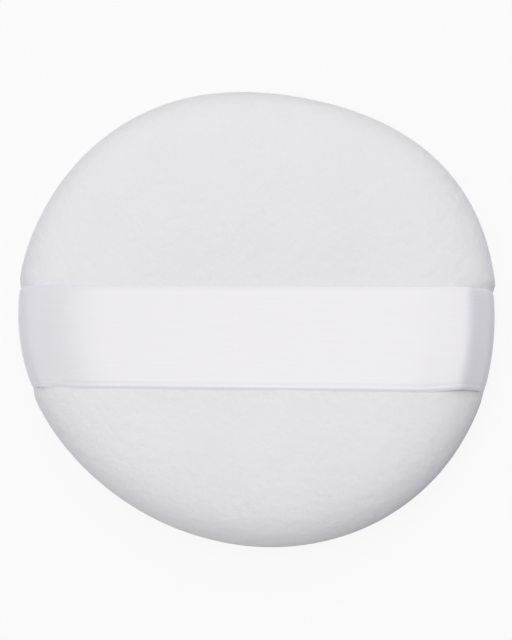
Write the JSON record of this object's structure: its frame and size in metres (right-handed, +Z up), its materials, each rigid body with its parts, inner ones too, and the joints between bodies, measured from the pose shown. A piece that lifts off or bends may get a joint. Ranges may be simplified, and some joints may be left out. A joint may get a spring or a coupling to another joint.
{
  "type": "powder puff",
  "caption": "Round velour powder puff with a foam filling and a satin ribbon across the grip side for the fingers.",
  "frame": {"origin": "on the surface the puff lies on, under the middle of its overall box", "axes": "+Z up, from the powder side to the grip side; +X along the ribbon; -Y towards the lower edge of the picture"},
  "size_m": [0.0596, 0.0572, 0.0116],
  "materials": {
    "velour": "short cut pile",
    "foam": "open cell",
    "satin_ribbon": "satin",
    "thread": "spun polyester"
  },
  "bodies": {
    "pad": {"foam_core": "foam", "grip_cover": "velour", "powder_cover": "velour", "ribbon_end_left": "satin_ribbon", "ribbon_end_right": "satin_ribbon", "seam_overlock_thread": "thread", "closing_thread": "thread"},
    "strap": {"ribbon_span": "satin_ribbon"}
  },
  "joints": [
    {"name": "strap_lift", "type": "slide", "parent": "pad", "child": "strap", "axis": [0, 0, 1], "range_m": [0, 0.006], "deforming": ["ribbon_end_left", "ribbon_end_right"]}
  ]
}
